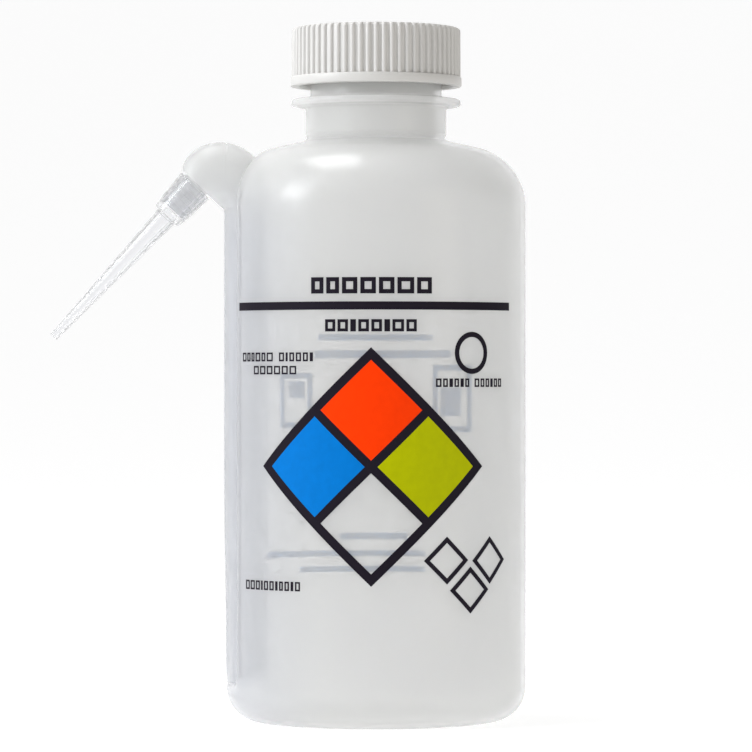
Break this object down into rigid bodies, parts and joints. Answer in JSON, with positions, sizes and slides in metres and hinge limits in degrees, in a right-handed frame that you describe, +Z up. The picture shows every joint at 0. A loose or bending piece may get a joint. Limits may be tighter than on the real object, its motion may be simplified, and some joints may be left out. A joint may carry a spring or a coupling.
{
  "type": "wash bottle",
  "caption": "Squeeze wash bottle with a moulded-in side channel, slanted elbow, push-on tapered delivery tip and ribbed screw cap with a vent valve.",
  "frame": {"origin": "centre of the base, on the neck's axis, in the plane the bottle stands on", "axes": "+Z up along the neck's axis, -X towards the delivery tip, -Y towards the viewer of the front"},
  "size_m": [0.1206, 0.076, 0.1752],
  "materials": {
    "bottle_body": "milky translucent low-density polyethylene, satin",
    "delivery_tip": "clear polypropylene, glossy",
    "screw_cap": "white polypropylene, satin",
    "cap_liner": "soft white foam polyethylene, matt",
    "vent_cage": "natural white plastic, satin",
    "vent_disc": "pale silicone, matt",
    "printed_ink": "screen-printed ink, slightly glossy"
  },
  "bodies": {
    "bottle": {"bottle_body": "bottle_body"},
    "tip": {"delivery_tip": "delivery_tip"},
    "liner": {"cap_liner": "cap_liner"},
    "cap": {"screw_cap": "screw_cap", "vent_cage": "vent_cage"},
    "valve": {"vent_disc": "vent_disc"}
  },
  "joints": [
    {"name": "cap_rise", "type": "slide", "parent": "bottle", "child": "liner", "axis": [0, 0, 1], "range_m": [0, 0.017]},
    {"name": "cap_turn", "type": "hinge", "parent": "liner", "child": "cap", "pos_m": [0, 0, 0.168], "axis": [0, 0, 1], "range_deg": [0, 1440]},
    {"name": "vent_lift", "type": "slide", "parent": "cap", "child": "valve", "axis": [0, 0, 1], "range_m": [0, 0.001]},
    {"name": "tip_pull", "type": "slide", "parent": "bottle", "child": "tip", "axis": [-0.6845, 0, -0.729], "range_m": [0, 0.014]}
  ],
  "couplings": [
    {"joint": "cap_rise", "follows": "cap_turn", "m_per_rad": 0.00067322}
  ]
}
